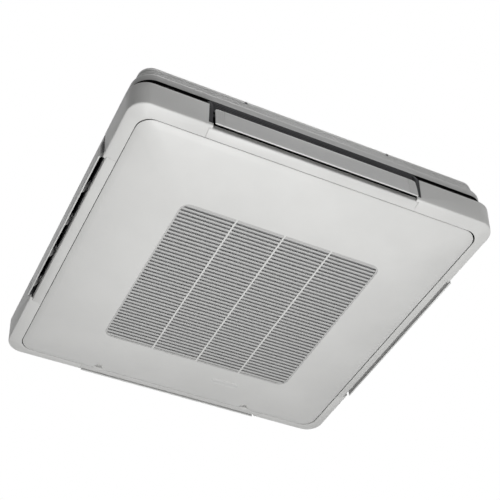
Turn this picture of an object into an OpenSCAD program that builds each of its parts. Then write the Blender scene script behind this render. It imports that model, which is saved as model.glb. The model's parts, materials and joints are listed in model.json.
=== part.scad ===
// Four-way air conditioner that hangs under a ceiling, seen mostly from below.
// Millimetres, +Z up. The origin is the middle of the four suspension slots,
// on the top face of the hanger brackets. The front outlet faces -Y.

/* [Overall] */
// Width across the corner covers at their upper edge, the same both ways
unit_w = 898; // [884:1:912]
// Height of the upper casing, from its top plate to its lower edge
casing_h = 61.5; // [59:0.5:68]
// Height of the dark gap between the casing and the corner covers
shadow_gap = 26.5; // [23:0.5:29]
// Height of the corner covers' side walls
wall_h = 65.2; // [63:0.2:70]
// Drop of the lower frame from its rim to the panel's seam
rim_drop = 7.4; // [6.6:0.1:8]
// How far the suction panel's edge stands below the frame's
panel_drop = 1; // [0.6:0.1:1.2]
// Depth of the suction panel's dome below the seam
dome_h = 26.4; // [25:0.2:30]

/* [Upper casing] */
// How far the casing's flange sits in from the widest point of the covers
flange_in = 10.4; // [9:0.1:12]
// How far the casing's flat top sits in from its flange
top_in = 14; // [12:0.5:17]
// Corner radius of the flange
casing_r = 46.6; // [44:0.2:50]
// Thickness of the casing's sheet
sheet_t = 1.2; // [0.8:0.1:1.6]
// How far the suspension bolts sit in from the widest point of the covers
hang_in = 99; // [96:0.5:105]
// Width of the suspension bolts' slots
slot_d = 12; // [10:0.5:14]
// Length of the suspension bolts' slots
slot_len = 32; // [24:1:36]
// Thickness of the hanger brackets
hanger_t = 3; // [2:0.5:4]
// Thickness of the foam under the top plate
foam_t = 7; // [5:0.5:8]

/* [Lower frame] */
// Corner radius of the corner covers at their upper edge
corner_r = 46; // [45:0.5:49]
// Rounding between a corner cover's wall and its underside
edge_r = 4; // [3.2:0.1:5]
// How far a corner cover's wall leans in at its foot
wall_lean = 2.6; // [1:0.1:4]
// Thickness of the covers and lips
cover_t = 2.6; // [2:0.1:2.8]
// How far the dark wall behind the shadow gap sits in
recess = 22; // [21:0.1:23]
// Length of each outlet, between the joints of its lip
outlet_len = 510; // [490:2:520]
// How far the front and left outlets sit towards the corner that they share
near_shift = 18; // [4:1:22]
// How far the back and right outlets sit towards the front right corner
far_shift = 9; // [0:1:14]
// How far the lips sit back from the corner covers' upper edge
lip_recess = 9.3; // [9:0.1:10]
// Height of the frame's deck above the rim
deck_h = 15.2; // [14.8:0.1:16.2]
// Thickness of the deck and the frame's walls
deck_t = 3; // [2.6:0.1:3.2]
// Width of a jamb, at each end of an outlet
jamb_w = 9.4; // [8.4:0.1:10]

/* [Flaps] */
// Gap between each end of a flap and the end of its outlet
flap_gap = 8; // [7:0.5:18]
// Thickness of a flap's blade
flap_t = 3; // [2.4:0.1:3.2]
// How far the lower edge stands out past the corner covers, part open
flap_out = 5.4; // [5:0.1:7.4]
// How far the top edge stands out past the corner covers
flap_top_out = 0.5; // [0:0.1:1.5]
// Height of a flap's lower edge above the rim, part open
flap_low = 2.8; // [2.2:0.1:5]
// Height of a flap's top edge above the rim
flap_top = 55.7; // [52:0.1:56.2]
// Height of a flap's axis above the rim
axis_h = 57.2; // [56.7:0.1:57.7]
// Distance of a flap's axis in from the widest point of the covers
axis_in = 20.5; // [20.1:0.1:21.1]
// Radius of the rod that a flap turns on
rod_r = 3; // [2.5:0.1:3.4]
// Number of arms that carry a flap
arms_n = 5; // [3:1:7]
// Distance of the outer arms from the flap's ends
arm_in = 17; // [12:1:60]

/* [Suction panel] */
// How far the suction panel's edge sits in from the widest point of the covers
seam_in = 34; // [33:0.25:35]
// Corner radius of the suction panel
panel_r = 36; // [32:0.5:40]
// Gap at the panel's seam
seam_gap = 1.8; // [1.6:0.1:2.4]
// Thickness of the panel
panel_t = 3; // [2.4:0.1:3.2]
// Width of the louvred opening
grille_w = 500; // [480:2:506]
// Corner radius of the louvred opening
grille_r = 24; // [16:1:30]
// Number of slats
slats_n = 44; // [36:1:48]
// Width of a slat
slat_w = 5; // [4:0.1:6]
// Thickness of a slat
slat_t = 2.5; // [2:0.1:3]
// Spacing of the three ribs across the slats
rib_pitch = 119; // [100:1:122]
// Width of a rib
rib_w = 4; // [3:0.1:5]
// How far a latch slides
latch_travel = 8; // [7:0.5:9]
// Distance of each latch from the middle
latch_x = 207; // [160:1:240]
// Distance of each hinge from the middle
hinge_x = 190; // [120:1:240]

/* [Air side] */
// Diameter of the turbo fan
fan_d = 400; // [380:1:420]
// Height of the turbo fan
fan_h = 92; // [88:1:94]
// Number of fan blades
blades_n = 7; // [5:1:9]
// Radius of the eye of the fan's shroud
eye_r = 142; // [136:1:150]
// Radius of the motor
motor_r = 66; // [60:1:70]
// Radius of the motor's shaft
shaft_r = 6; // [4:0.5:7]
// How far the heat exchanger's inner face sits in from the widest point of the covers
coil_set = 187; // [184.5:0.5:191]
// Depth of the heat exchanger
coil_t = 38; // [34:1:40]
// Height of the heat exchanger
coil_h = 106; // [100:1:108]
// Outer radius of the gas pipe
gas_r = 7.94; // [6:0.01:9.6]
// Outer radius of the liquid pipe
liquid_r = 4.76; // [3.2:0.01:6.4]
// Outer radius of the drain socket
drain_r = 13; // [11:0.5:15]
// Bore radius of the cable bush
cable_r = 8; // [6:0.5:9]

/* [Hidden] */

// Clearances: between seated pieces, and round a turning pin
rest = 0.3;
run_gap = 0.05;

// Heights of the main levels
z_top = -hanger_t;
z_ceil = z_top - sheet_t;
z_foam = z_ceil - foam_t;
z_flange = z_top - casing_h;
z_wall = z_flange - shadow_gap;
z_rim = z_wall - wall_h;
z_deck = z_rim + deck_h;
z_under = z_deck - deck_t;
z_inner = z_rim - rim_drop;
z_seam = z_inner - panel_drop;
z_face = z_seam - dome_h;

// Half widths, and the corner centres of the lower frame and the casing
half = unit_w / 2;
cc = half - corner_r;
fc = half - flange_in - casing_r;
top_r = casing_r - top_in;
panel_half = half - seam_in;
grille_half = grille_w / 2;
coil_in = half - coil_set;
coil_out = coil_in + coil_t;
hang_pitch = unit_w - 2 * hang_in;
flap_len = outlet_len - 2 * flap_gap;
arm_pitch = (flap_len - 2 * arm_in) / (arms_n - 1);
fitting_in = 65;
post_at = half - fitting_in;
stud_at = motor_r + 18;
seam_r = panel_half + seam_gap - cc;
wall_r = corner_r - recess;
lip_r = corner_r - lip_recess;

// Colours
casing_grey = [0.66, 0.66, 0.65];
pale = [0.87, 0.87, 0.85];
charcoal = [0.22, 0.22, 0.23];
black = [0.06, 0.06, 0.06];
copper = [0.78, 0.47, 0.32];
steel = [0.72, 0.73, 0.74];
foam_white = [0.93, 0.93, 0.90];

// Sides run back, left, front, right, each a quarter turn on from the last.
// Along a side, x runs to the right of someone who looks out from the middle.
shifts = [far_shift, -near_shift, near_shift, -far_shift];
function x_lo(k) = shifts[k % 4] - outlet_len / 2;
function x_hi(k) = shifts[k % 4] + outlet_len / 2;
module side(k) rotate([0, 0, 90 * k]) children();

// A profile of (distance out, height) run along a side from x0 to x1, and its quarter turn
module run(x0, x1, c) translate([x0, c, 0]) rotate([90, 0, 90]) linear_extrude(x1 - x0) children();
module turn(c) translate([-c, c, 0]) rotate([0, 0, 90]) rotate_extrude(angle = 90, $fn = 96) children();
module all_round(c) for (k = [0:3]) side(k) {
    run(-c, c, c) children();
    turn(c) children();
}
module rounded(h, r) {
    square([2 * h, 2 * (h - r)], center = true);
    square([2 * (h - r), 2 * h], center = true);
    for (a = [-1, 1], b = [-1, 1])
        translate([a * (h - r), b * (h - r)]) circle(r, $fn = 64);
}
function arc(x, z, r, a0, a1, n) = [for (i = [0:n]) let (a = a0 + (a1 - a0) * i / n)
    [x + r * cos(a), z + r * sin(a)]];
function back(p) = [for (i = [len(p) - 1:-1:0]) p[i]];
module tube(outer, bore, h) difference() {
    cylinder(r = outer, h = h, $fn = 64);
    translate([0, 0, -1]) cylinder(r = bore, h = h + 2, $fn = 64);
}

// Upper casing: a flange band, a shoulder and a leaning ridged wall
band_h = 17.5;
shoulder_h = 23.5;
shoulder_in = 7.6;
ridge_d = 1;
lip_in = 5;
plate_rim = 12;
foot = [casing_r - shoulder_in, z_flange + shoulder_h + 3];
head = [top_r, z_top - 4];
z_joint = z_top - plate_rim;
function on_wall(z, d) = [head.x + (foot.x - head.x) * (head.y - z) / (head.y - foot.y) - d, z];
module casing_profile() {
    tongue = sheet_t + rest;
    wall = sheet_t + ridge_d;
    ridges = [for (i = [2:4], s = [0:3]) let (u = i / 5 + [-0.03, -0.012, 0.012, 0.03][s])
        on_wall(head.y + (foot.y - head.y) * u, [0, 1, 1, 0][s] * ridge_d)];
    polygon(concat([on_wall(head.y - 1, tongue), on_wall(z_joint - 0.3, tongue), on_wall(z_joint - 1.3, 0)],
        ridges,
        [foot, foot + [1.5, -2.4], foot + [5.5, -4.4], [casing_r - 1.6, z_flange + band_h + 1],
        [casing_r, z_flange + band_h - 1.2], [casing_r, z_flange + 2.4], [casing_r - 0.8, z_flange + 0.8],
        [casing_r - 2.6, z_flange], [casing_r - lip_in, z_flange],
        [casing_r - lip_in, z_flange + sheet_t], [casing_r - 3, z_flange + sheet_t],
        [casing_r - sheet_t, z_flange + 3], [casing_r - sheet_t, z_flange + band_h - 1.9],
        [casing_r - 1.6 - 0.6 * sheet_t, z_flange + band_h + 1 - 0.9 * sheet_t],
        foot + [5.5 - 0.45 * sheet_t, -4.4 - 0.9 * sheet_t],
        foot + [1.5 - 0.5 * sheet_t, -2.4 - 0.9 * sheet_t],
        on_wall(foot.y, wall), on_wall(z_joint - 2.5, wall), on_wall(z_joint - 0.5, tongue + sheet_t),
        on_wall(head.y - 1, tongue + sheet_t)]));
}
module top_casing() color(casing_grey) all_round(fc) casing_profile();

// Top plate: its edge turns down over the top of the casing's wall
module plate_profile() polygon([[0, z_top], [top_r - 3.5, z_top], [top_r - 1, z_top - 1.2], head,
    on_wall(z_joint, 0), on_wall(z_joint, sheet_t), on_wall(head.y, sheet_t),
    [top_r - 1 - sheet_t, z_top - 1.2 - 0.6 * sheet_t], [top_r - 3.5 - 0.4 * sheet_t, z_ceil], [0, z_ceil]]);
gas_at = [half - fitting_in, coil_out + 6];
liquid_at = [gas_at.x - 38, coil_out];
drain_at = [coil_out - 12, half - fitting_in];
cable_at = [-gas_at.x, gas_at.y];
post_r = 8;
bush_r = cable_r + 3;
pipe_gap = 3;
stub_step = 0.5;
module hole_at(p, r) translate([p.x, p.y, z_ceil - 1]) cylinder(r = r, h = sheet_t + 2, $fn = 64);
module at_hangers() for (a = [-1, 1], b = [-1, 1]) translate([a, b, 0] * hang_pitch / 2) children();
// Pressed beads, which stiffen the plate on each side of the motor
bead_len = 300;
bead_w = 18;
bead_h = 1.4;
bead_at = [170, 230];
module beads(inset, z) for (k = [0:3], y = bead_at) side(k) translate([0, y, z]) linear_extrude(bead_h) {
    square([bead_len - bead_w, bead_w - 2 * inset], center = true);
    for (s = [-1, 1]) translate([s * (bead_len - bead_w) / 2, 0]) circle(bead_w / 2 - inset, $fn = 48);
}
module top_plate() color(casing_grey) difference() {
    union() {
        translate([-fc, -fc, z_ceil]) cube([2 * fc, 2 * fc, sheet_t]);
        all_round(fc) plate_profile();
        beads(0, z_top);
    }
    beads(sheet_t, z_ceil - 0.01);
    at_hangers() translate([0, 0, z_ceil - 1])
        linear_extrude(sheet_t + 2) square([slot_len + 8, slot_d + 8], center = true);
    hole_at(gas_at, gas_r + pipe_gap);
    hole_at(liquid_at, liquid_r + pipe_gap);
    hole_at(drain_at, drain_r - stub_step + rest);
    hole_at(cable_at, bush_r + run_gap);
}

// Hanger brackets: a slotted plate over each opening, with one edge turned up
bracket_x = slot_len + 46;
bracket_y = slot_d + 40;
edge_up = 9;
module hanger_brackets() color(steel) for (a = [-1, 1], b = [-1, 1])
    translate([a * hang_pitch / 2, b * hang_pitch / 2, z_top]) {
        difference() {
            translate([-bracket_x / 2, -bracket_y / 2, 0]) cube([bracket_x, bracket_y, hanger_t]);
            for (s = [-1, 1]) translate([s * (slot_len - slot_d) / 2, 0, -1])
                cylinder(d = slot_d, h = hanger_t + 2, $fn = 48);
            translate([-(slot_len - slot_d) / 2, -slot_d / 2, -1])
                cube([slot_len - slot_d, slot_d, hanger_t + 2]);
        }
        translate([-bracket_x / 2, -b * (bracket_y / 2 - hanger_t) - (b > 0 ? hanger_t : 0), hanger_t])
            cube([bracket_x, hanger_t, edge_up]);
    }

// Foam lining: a sheet under the top plate and a wall behind the casing's slope
foam_wall = 12;
module foam_profile() polygon([[0, z_ceil], [top_r - sheet_t - 5, z_ceil],
    [top_r - sheet_t - 2, z_ceil - 5], [casing_r - shoulder_in - sheet_t - 2, foot.y],
    [casing_r - shoulder_in - sheet_t - foam_wall, foot.y],
    [top_r - sheet_t - foam_wall - 4, z_foam], [0, z_foam]]);
module foam_lining() color(foam_white) difference() {
    union() {
        translate([-fc, -fc, z_foam]) cube([2 * fc, 2 * fc, foam_t]);
        all_round(fc) foam_profile();
    }
    translate([0, 0, z_foam - 1]) cylinder(r = stud_at + 30, h = foam_t + 2, $fn = 96);
    at_hangers() translate([0, 0, z_foam - 1])
        linear_extrude(foam_t + 2) square([slot_len + 16, slot_d + 16], center = true);
    for (p = [gas_at, liquid_at, drain_at, cable_at]) translate([p.x, p.y, z_foam - 1])
        cylinder(r = max(gas_r, drain_r, bush_r) + 3, h = foam_t + 2, $fn = 64);
    for (a = [-1, 1], b = [-1, 1]) translate([a * post_at, b * post_at, foot.y - 1])
        cylinder(r = post_r + 1, h = z_ceil - foot.y + 2, $fn = 48);
}

// Heat exchanger: a square ring of fins, open at the back right corner
coil_r = 40;
coil_c = coil_in - coil_r;
z_coil = z_foam - rest;
coil_end = coil_in - 56;
fin_pitch = 14;
fin_gap = 4.5;
fin_cut = 3;
function comb(x0, x1, y, d) = [for (i = [0:floor((x1 - x0 - fin_gap - 4) / fin_pitch)], s = [0:3])
    [x0 + 3 + i * fin_pitch + [0, 0, 1, 1][s] * fin_gap, y + [0, 1, 1, 0][s] * d]];
module fin_run(x0, x1) translate([0, 0, z_coil - coil_h]) linear_extrude(coil_h)
    polygon(concat([[x0, coil_in]], comb(x0, x1, coil_in, fin_cut), [[x1, coil_in], [x1, coil_out]],
        back(comb(x0, x1, coil_out, -fin_cut)), [[x0, coil_out]]));
module coil_fins() color(steel) {
    side(0) fin_run(-coil_c, coil_end);
    side(1) fin_run(-coil_c, coil_c);
    side(2) fin_run(-coil_c, coil_c);
    side(3) fin_run(-coil_end, coil_c);
    for (k = [0:2]) side(k) turn(coil_c) translate([coil_r, z_coil - coil_h]) square([coil_t, coil_h]);
}

// End plates of the heat exchanger, at its open corner
end_t = 1.5;
module coil_ends() color(steel) for (k = [0, 3]) side(k)
    translate([k == 0 ? coil_end : -coil_end - end_t, coil_in - 4, z_coil - coil_h])
        cube([end_t, coil_t + 7, coil_h]);

// Return bends on both end plates
tube_r = 3.5;
bend_r = 8;
bend_step = 24;
bend_row = 20;
module coil_tubes() color(copper) for (k = [0, 3], i = [0:3], w = [0, 1]) side(k)
    translate([(k == 0 ? 1 : -1) * (coil_end + end_t), coil_in + 9 + bend_row * w, z_coil - 18])
        translate([0, 0, -i * bend_step])
        rotate([90, 0, 0]) rotate([0, 0, k == 0 ? -90 : 90])
            rotate_extrude(angle = 180, $fn = 48) translate([bend_r, 0]) circle(tube_r, $fn = 24);

// Pipes that follow straight stretches with rounded joints
module pipe(path, r) {
    for (i = [0:len(path) - 2]) {
        d = path[i + 1] - path[i];
        translate(path[i]) rotate([0, acos(d.z / norm(d)), atan2(d.y, d.x)])
            cylinder(r = r, h = norm(d), $fn = 32);
    }
    for (i = [1:len(path) - 2]) translate(path[i]) rotate([0, 0, 31]) sphere(r + 0.2, $fn = 32);
}
pipe_top = 30;
stub_h = 14;
head_low = z_coil - coil_h + 6;
feed_x = coil_in + 9 + bend_row / 2;
feed_y = coil_end + end_t + 24;
gas_turn = -48;
liquid_turn = -72;
module pipe_end(p, r, low) translate([p.x, p.y, 0]) difference() {
    union() {
        translate([0, 0, low]) cylinder(r = r - stub_step, h = pipe_top - low, $fn = 64);
        translate([0, 0, pipe_top - stub_h]) cylinder(r = r, h = stub_h, $fn = 64);
    }
    translate([0, 0, low + 20]) cylinder(r = r - stub_step - 0.9, h = pipe_top - low, $fn = 64);
}
module gas_pipe() color(copper) {
    pipe_end(gas_at, gas_r, gas_turn);
    translate([gas_at.x, gas_at.y, gas_turn]) sphere(gas_r - stub_step, $fn = 48);
    pipe([[feed_x, feed_y, head_low], [feed_x, feed_y, gas_turn], [gas_at.x, feed_y, gas_turn],
        [gas_at.x, gas_at.y, gas_turn]], gas_r - 1.4);
    for (i = [0:2]) translate([feed_x, coil_end + end_t + rest, head_low + 4 + bend_step * i])
        rotate([-90, 0, 0]) cylinder(r = 2.6, h = feed_y - coil_end - end_t - rest, $fn = 24);
}
module liquid_pipe() color(copper) {
    pipe_end(liquid_at, liquid_r, liquid_turn);
    translate([liquid_at.x, liquid_at.y, liquid_turn]) sphere(liquid_r - stub_step, $fn = 48);
    pipe([[feed_y, feed_x, head_low], [feed_y, feed_x, liquid_turn], [feed_y, liquid_at.y, liquid_turn],
        [liquid_at.x, liquid_at.y, liquid_turn]], liquid_r - stub_step - 0.4);
    for (i = [0:1]) translate([coil_end + end_t + rest, feed_x, head_low + 4 + bend_step * i])
        rotate([0, 90, 0]) cylinder(r = 2.2, h = feed_y - coil_end - end_t - rest, $fn = 24);
}

// Flare nuts on both pipe ends
nut_h = 14;
module flare_nut(p, r) translate([p.x, p.y, pipe_top - stub_h - nut_h]) difference() {
    cylinder(r = r * 1.7, h = nut_h, $fn = 6);
    translate([0, 0, -1]) cylinder(r = r - stub_step + run_gap, h = nut_h + 2, $fn = 64);
}
module flare_nuts() color([0.76, 0.62, 0.28]) {
    flare_nut(gas_at, gas_r);
    flare_nut(liquid_at, liquid_r);
}

// Drain pan: a square trough under the heat exchanger, round a web with the inlet's hole
pan_in = 26;
pan_out = coil_t + 42;
trough_gap = 6;
pan_floor = z_coil - coil_h - rest;
pan_hole = eye_r + 48;
pan_rim = 20;
pan_edge = 5;
module pan_profile() polygon([[coil_r - pan_in, z_deck], [coil_r + pan_out, z_deck],
    [coil_r + pan_out, pan_floor + pan_rim], [coil_r + coil_t + trough_gap + pan_edge, pan_floor + pan_rim],
    [coil_r + coil_t + trough_gap, pan_floor + pan_rim - pan_edge],
    [coil_r + coil_t + trough_gap, pan_floor],
    [coil_r - trough_gap, pan_floor], [coil_r - trough_gap, pan_floor + 6],
    [coil_r - pan_in, pan_floor + 6]]);
module drain_pan() color(foam_white) {
    all_round(coil_c) pan_profile();
    translate([0, 0, z_deck]) linear_extrude(10) difference() {
        rounded(coil_in - pan_in + 1, coil_r - pan_in + 1);
        circle(pan_hole, $fn = 96);
    }
}

// Drain pump: it stands in the trough, in the heat exchanger's open corner
pump_at = [coil_in - 6, coil_in - 6];
pump_r = 20;
pump_low = pan_floor + 12;
pump_high = pump_low + 46;
spout_r = 5;
hose_z = -40;
module drain_pump() color([0.85, 0.85, 0.82]) translate([pump_at.x, pump_at.y, 0]) {
    translate([0, 0, pump_low]) cylinder(r = pump_r, h = 22, $fn = 64);
    translate([0, 0, pump_low + 22]) cylinder(r = pump_r - 4, h = pump_high - pump_low - 22, $fn = 64);
    translate([0, 0, pan_floor + rest]) cylinder(r = 7, h = 13, $fn = 48);
    translate([0, 0, pump_high]) cylinder(r = spout_r, h = hose_z - 8 - pump_high, $fn = 32);
    for (s = [-1, 1]) translate([s * (pump_r - 8) - 3, -4, pump_high - 1])
        cube([6, 8, z_foam - pump_high + 1]);
}

// Drain socket: the hose from the pump and the upright tube through the top
hose_r = 7;
drain_top = 20;
module drain_socket() color([0.35, 0.36, 0.38]) {
    translate([drain_at.x, drain_at.y, 0]) difference() {
        union() {
            translate([0, 0, hose_z - drain_r])
                cylinder(r = drain_r - stub_step, h = drain_r - hose_z, $fn = 64);
            cylinder(r = drain_r, h = drain_top, $fn = 64);
        }
        translate([0, 0, hose_z + 14]) cylinder(r = drain_r - 2.5, h = drain_top - hose_z, $fn = 64);
    }
    pipe([[pump_at.x, pump_at.y, hose_z - 8 + rest], [pump_at.x, pump_at.y, hose_z],
        [drain_at.x, drain_at.y, hose_z]], hose_r);
}

// Float switch: a stem on a foot in the trough, and its float
float_at = [coil_in + 24, coil_in];
stem_r = 2.5;
float_h = 12;
float_lift = 12;
float_low = pan_floor + 7;
stem_top = float_low + float_h + float_lift + 2 * rest;
module float_guide() color([0.80, 0.80, 0.78]) translate([float_at.x, float_at.y, 0]) {
    translate([0, 0, pan_floor + rest]) cylinder(r = 5, h = float_low - pan_floor - 2 * rest, $fn = 32);
    translate([0, 0, pan_floor + 1]) cylinder(r = stem_r, h = stem_top - pan_floor, $fn = 32);
    translate([0, 0, stem_top]) cylinder(r = 5, h = 4, $fn = 32);
    translate([-(float_at.x - pump_at.x - pump_r - rest), -4, stem_top]) cube([8, 8, 4]);
}
module float() color([0.90, 0.88, 0.80]) translate([float_at.x, float_at.y, float_low])
    tube(7.6, stem_r + rest, float_h);

// Bell mouth: a flared ring under the pan's web that leads into the fan's eye
throat_r = eye_r - 8;
bell_w = 52;
bell_over = 6;
bell_flange = 2.5;
bell_t = 2;
function bell(w, h) = [for (i = [0:9]) let (a = 90 * i / 9) [w * (1 - sin(a)), h * (1 - cos(a))]];
module bell_mouth() color([0.16, 0.16, 0.17]) rotate_extrude($fn = 128) {
    low = z_deck - bell_flange;
    rise = fan_low + bell_over - low;
    under = [for (p = bell(bell_w, rise)) p + [throat_r, low]];
    over = [for (p = bell(bell_w - bell_t, rise - bell_flange)) p + [throat_r + bell_t, z_deck]];
    polygon(concat([[pan_hole + 14, z_deck], [pan_hole + 14, low]], under, back(over)));
}

// Motor bracket: a plate under the top with four studs, each with a collar and a nut
stud_r = 4;
ear_top = z_ceil - 10.5;
ear_t = 4;
grommet_f = 3;
module at_studs() for (i = [0:3]) rotate([0, 0, 45 + 90 * i]) translate([stud_at, 0, 0]) children();
module motor_bracket() color(steel) {
    translate([0, 0, z_ceil - 2]) cylinder(r = stud_at + 20, h = 2, $fn = 96);
    at_studs() {
        translate([0, 0, ear_top + grommet_f])
            cylinder(r = 7, h = z_ceil - 1 - ear_top - grommet_f, $fn = 32);
        translate([0, 0, ear_top - ear_t - grommet_f - 4])
            cylinder(r = stud_r, h = z_ceil - 1 - ear_top + ear_t + grommet_f + 4, $fn = 32);
        translate([0, 0, ear_top - ear_t - grommet_f - 3.5]) cylinder(r = 7, h = 3.5, $fn = 6);
    }
}

// Rubber grommets between the studs and the motor's ears
module motor_grommets() color(black) at_studs() difference() {
    union() {
        translate([0, 0, ear_top - ear_t]) cylinder(r = 6, h = ear_t, $fn = 48);
        translate([0, 0, ear_top]) cylinder(r = 9, h = grommet_f, $fn = 48);
        translate([0, 0, ear_top - ear_t - grommet_f]) cylinder(r = 9, h = grommet_f, $fn = 48);
    }
    translate([0, 0, ear_top - ear_t - grommet_f - 1])
        cylinder(r = stud_r + run_gap, h = ear_t + 2 * grommet_f + 2, $fn = 48);
}

// Fan motor: a ribbed can with four ears
motor_top = z_ceil - 3.5;
motor_low = motor_top - 52;
module fan_motor() color([0.45, 0.46, 0.48]) difference() {
    union() {
        rotate_extrude($fn = 96) polygon(concat([[0, motor_top], [motor_r - 3, motor_top],
            [motor_r, motor_top - 3], [motor_r, ear_top - ear_t - 6]],
            [for (i = [0:3], s = [0:3]) [motor_r - [0, 3, 3, 0][s],
                ear_top - ear_t - 8 - i * 6 - [0, 0, 3, 3][s]]],
            [[motor_r - 8, motor_low + 4], [30, motor_low + 2], [22, motor_low], [0, motor_low]]));
        at_studs() translate([0, 0, ear_top - ear_t]) cylinder(r = 11, h = ear_t, $fn = 48);
        for (i = [0:3]) rotate([0, 0, 45 + 90 * i]) translate([motor_r - 6, -11, ear_top - ear_t])
            cube([stud_at - motor_r + 6, 22, ear_t]);
    }
    at_studs() translate([0, 0, ear_top - ear_t - 1]) cylinder(r = 6 + run_gap, h = ear_t + 2, $fn = 48);
    translate([0, 0, motor_low - 1]) cylinder(r = shaft_r + run_gap, h = 30, $fn = 48);
}

// Turbo fan: a cupped hub, backward blades and a curved shroud with the eye
fan_r = fan_d / 2;
fan_top = z_foam - 6;
fan_low = fan_top - fan_h;
hub_r = stud_at + 28;
nose_r = 60;
boss_r = 15;
nose_z = fan_top - 58;
boss_z = nose_z - 16;
shroud_z = fan_low + 30;
shroud_t = 2.4;
blade_t = 2.6;
blade_in = eye_r - 6;
blade_sweep = 34;
module hub_profile() polygon([[shaft_r + run_gap, boss_z], [boss_r, boss_z], [boss_r, nose_z - 3],
    [nose_r, nose_z - 3], [nose_r + 18, nose_z + 6], [hub_r - 14, fan_top - 11], [hub_r + 1, fan_top - 3],
    [fan_r, fan_top - 3], [fan_r, fan_top], [hub_r, fan_top], [hub_r - 17, fan_top - 9],
    [nose_r + 15, nose_z + 8], [nose_r - 2, nose_z], [shaft_r + run_gap, nose_z]]);
function shroud(d) = [for (i = [0:8]) let (a = 90 * i / 8)
    [fan_r - (fan_r - eye_r - shroud_t + d) * sin(a),
        shroud_z + d - (shroud_z - fan_low - 6) * (1 - cos(a))]];
module shroud_profile() polygon(concat(shroud(0), [[eye_r + shroud_t, fan_low], [eye_r, fan_low]],
    back(shroud(shroud_t))));
function blade(u, s) = let (r = blade_in + (fan_r - 1 - blade_in) * u,
    a = -blade_sweep * u + s * blade_t * 90 / (PI * r)) [r * cos(a), r * sin(a)];
module turbo_fan() color([0.93, 0.93, 0.91]) {
    rotate_extrude($fn = 128) hub_profile();
    rotate_extrude($fn = 128) shroud_profile();
    intersection() {
        rotate_extrude($fn = 128) polygon(concat([[fan_r - 0.5, fan_top - 1], [hub_r + 2, fan_top - 1],
            [blade_in - 10, fan_top - 2], [blade_in - 10, fan_low + 8]], back(shroud(shroud_t / 2))));
        for (i = [0:blades_n - 1]) rotate([0, 0, 360 / blades_n * i])
            translate([0, 0, fan_low]) linear_extrude(fan_h) polygon(concat(
                [for (j = [0:8]) blade(j / 8, 1)], [for (j = [8:-1:0]) blade(j / 8, -1)]));
    }
}
module motor_shaft() color(steel) translate([0, 0, boss_z - 10])
    cylinder(r = shaft_r, h = motor_low + 20 - boss_z, $fn = 48);
module fan_nut() color(steel) translate([0, 0, boss_z - 7]) difference() {
    cylinder(r = shaft_r * 2, h = 7 - rest, $fn = 6);
    translate([0, 0, -1]) cylinder(r = shaft_r + run_gap, h = 9, $fn = 48);
}

// Control box under the deck, its cover, board and terminal block
box_w = 280;
box_d = 84;
box_h = 22;
box_t = 1.2;
box_y = 121 - panel_half;
module control_box() color(steel) translate([-box_w / 2, box_y - box_d / 2, z_under - box_h]) difference() {
    cube([box_w, box_d, box_h]);
    translate([box_t, box_t, -1]) cube([box_w - 2 * box_t, box_d - 2 * box_t, box_h - box_t + 1]);
}
module control_box_cover() color(steel) translate([0, box_y, z_under - box_h - box_t]) {
    translate([-box_w / 2, -box_d / 2, 0]) cube([box_w, box_d, box_t]);
    for (s = [-1, 1]) translate([-box_w / 2 + 6, s * (box_d / 2 - 2 * box_t - rest) - box_t / 2, box_t])
        cube([box_w - 12, box_t, 5]);
}
board_z = z_under - box_t - 6;
module circuit_board() color([0.12, 0.40, 0.22]) {
    translate([-box_w / 2 + 10, box_y - 32, board_z - 1.6]) cube([box_w - 76, 64, 1.6]);
    for (a = [0, 1], b = [-1, 1])
        translate([-box_w / 2 + 18 + a * (box_w - 92), box_y + b * 26, board_z - 0.5])
            cylinder(r = 3, h = z_under - box_t - board_z + 0.5, $fn = 24);
    for (p = [[-116, -10, 34], [-70, 4, 22], [-36, -14, 28], [4, 0, 30]])
        translate([p.x, box_y + p.y, board_z - 11]) cube([p.z, 18, 9.6]);
}
module terminal_block() color([0.90, 0.90, 0.86]) difference() {
    translate([box_w / 2 - 54, box_y - 28, z_under - box_t - 12]) cube([22, 56, 12]);
    for (i = [0:4]) translate([box_w / 2 - 43, box_y - 22 + 11 * i, z_under - box_t - 13])
        cylinder(r = 3, h = 6, $fn = 24);
}
module cable_bush() color(black) translate([cable_at.x, cable_at.y, 0]) difference() {
    union() {
        translate([0, 0, z_ceil - 8]) cylinder(r = bush_r, h = z_top - z_ceil + 10, $fn = 64);
        translate([0, 0, z_top]) cylinder(r = bush_r + 4, h = hanger_t, $fn = 64);
    }
    translate([0, 0, z_ceil - 9]) cylinder(r = cable_r, h = 30, $fn = 64);
}

// Outer skin of the lower frame, at depth d inside its face, from the seam up to the height z
lean = atan(wall_lean / (wall_h - edge_r));
function skin_x(z, d) = corner_r - wall_lean * (z_wall - z) / (wall_h - edge_r) - d / cos(lean);
edge_x = skin_x(z_rim + edge_r, edge_r);
function tilt_from(t) = atan((edge_r * (1 - cos(t)) + rim_drop) / (edge_x + edge_r * sin(t) - seam_r));
tilt = tilt_from(tilt_from(tilt_from(15)));
function skin(d, z) = concat([[seam_r, z_inner + d / cos(tilt)]],
    arc(edge_x, z_rim + edge_r, edge_r - d, tilt - 90, -lean, 8), [[skin_x(z, d), z]]);

// Corner covers: each wraps one corner, with a leg along both of its sides
shelf_t = 2;
tab_h = 9.2;
tab_len = 6;
wall_set = 5;
corner_in = 12;
joint_gap = 0.6;
module cover_profile() polygon(concat([[seam_r - corner_in, z_inner]], skin(0, z_wall),
    [[wall_r + rest, z_wall], [wall_r + rest, z_wall - shelf_t]], back(skin(cover_t, z_wall - shelf_t)),
    [[seam_r - corner_in, z_inner + cover_t / cos(tilt)]]));
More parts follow.
